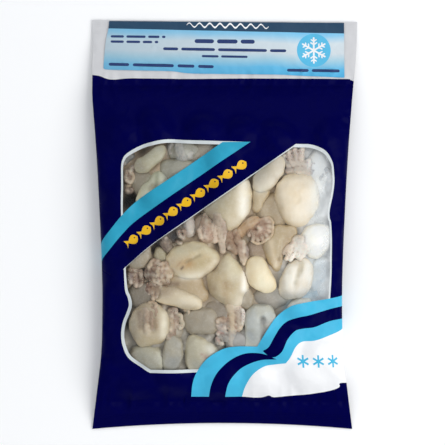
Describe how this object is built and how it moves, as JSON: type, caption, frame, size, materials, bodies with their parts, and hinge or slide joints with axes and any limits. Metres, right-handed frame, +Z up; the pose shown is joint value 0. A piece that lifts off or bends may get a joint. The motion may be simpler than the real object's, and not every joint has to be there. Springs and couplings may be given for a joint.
{
  "type": "bag of frozen cuttlefish",
  "caption": "Sealed pillow bag of frozen whole cuttlefish lying on its back, with a flat header, a label, a foot seal and lumps where the pieces press on the film.",
  "frame": {"origin": "on the ground under the middle of the bag", "axes": "+Y from the foot seal to the header, +Z up out of the shown side, +X to the right of the print"},
  "size_m": [0.22, 0.3396, 0.0411],
  "materials": {
    "printed_film": "glossy printed plastic film, dark blue with light blue and white fields",
    "label_paper": "smooth coated label, shaded from sky blue to white",
    "clear_film": "clear thin plastic film",
    "cuttlefish": "moist cream flesh under a thin coat of ice"
  },
  "bodies": {
    "root": {"bag": "printed_film", "header_label": "label_paper"}
  },
  "joints": []
}
